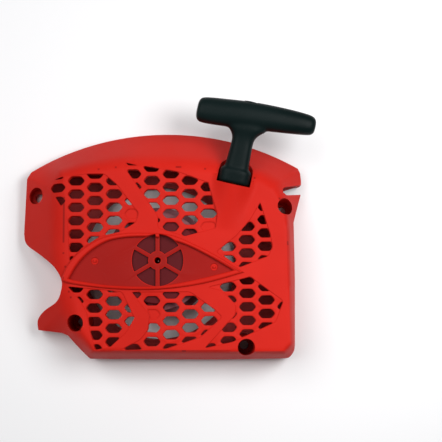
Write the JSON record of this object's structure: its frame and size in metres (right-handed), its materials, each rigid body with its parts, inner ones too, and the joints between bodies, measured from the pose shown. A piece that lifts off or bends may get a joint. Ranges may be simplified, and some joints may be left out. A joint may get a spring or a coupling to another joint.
{
  "type": "recoil starter",
  "caption": "Vented pull-start cover for a small two-stroke engine, with a rope reel, a return spring, a ratchet cup, an air baffle and a T-shaped pull handle.",
  "frame": {"origin": "middle of the footprint, on the plane of the rim that meets the crankcase", "axes": "+X along the cover's length towards the handle's side, +Y towards the arched long edge and the handle, +Z along the crank axis, out of the cover's outer face"},
  "size_m": [0.1978, 0.173, 0.0542],
  "materials": {
    "starter_cover": "fine-grained moulded nylon",
    "spindle_sleeve": "turned",
    "spring_case": "moulded",
    "spring_case_lid": "pressed sheet",
    "screws": "zinc plated",
    "mainspring": "oiled spring strip",
    "rope_reel": "moulded nylon",
    "drive_cup": "sintered steel",
    "reel_washer": "zinc plated",
    "rope": "braided nylon",
    "rope_eyelet": "polished by the rope",
    "air_baffle": "moulded",
    "handle_grip": "satin moulded plastic",
    "handle_insert": "turned"
  },
  "bodies": {
    "housing": {"starter_cover": "starter_cover", "spindle_sleeve": "spindle_sleeve", "spring_case": "spring_case", "spring_case_lid": "spring_case_lid", "case_screw_1": "screws", "case_screw_2": "screws", "case_screw_3": "screws", "mainspring": "mainspring", "reel_washer": "reel_washer", "reel_screw": "screws", "rope_run": "rope", "rope_eyelet": "rope_eyelet", "air_baffle": "air_baffle", "baffle_screw_1": "screws", "baffle_screw_2": "screws", "baffle_screw_3": "screws", "baffle_screw_4": "screws"},
    "reel": {"rope_reel": "rope_reel", "drive_cup": "drive_cup", "rope_winding": "rope", "reel_knot": "rope"},
    "handle": {"handle_grip": "handle_grip", "rope_tail": "rope", "handle_insert": "handle_insert", "handle_knot": "rope", "handle_cap": "handle_grip"}
  },
  "joints": [
    {"name": "handle_pull", "type": "slide", "parent": "housing", "child": "handle", "axis": [0.2215, 0.9596, 0.1736], "range_m": [0, 0.7], "stiffness_N_per_m": 20, "springref_m": -0.5, "deforming": ["rope_run"]},
    {"name": "reel_spin", "type": "hinge", "parent": "housing", "child": "reel", "pos_m": [-0.00576, -0.02045, 0.023], "axis": [0, 0, 1], "range_deg": [0, 1360], "deforming": ["mainspring"]}
  ],
  "couplings": [
    {"joint": "reel_spin", "follows": "handle_pull", "rad_per_m": 33.898}
  ]
}
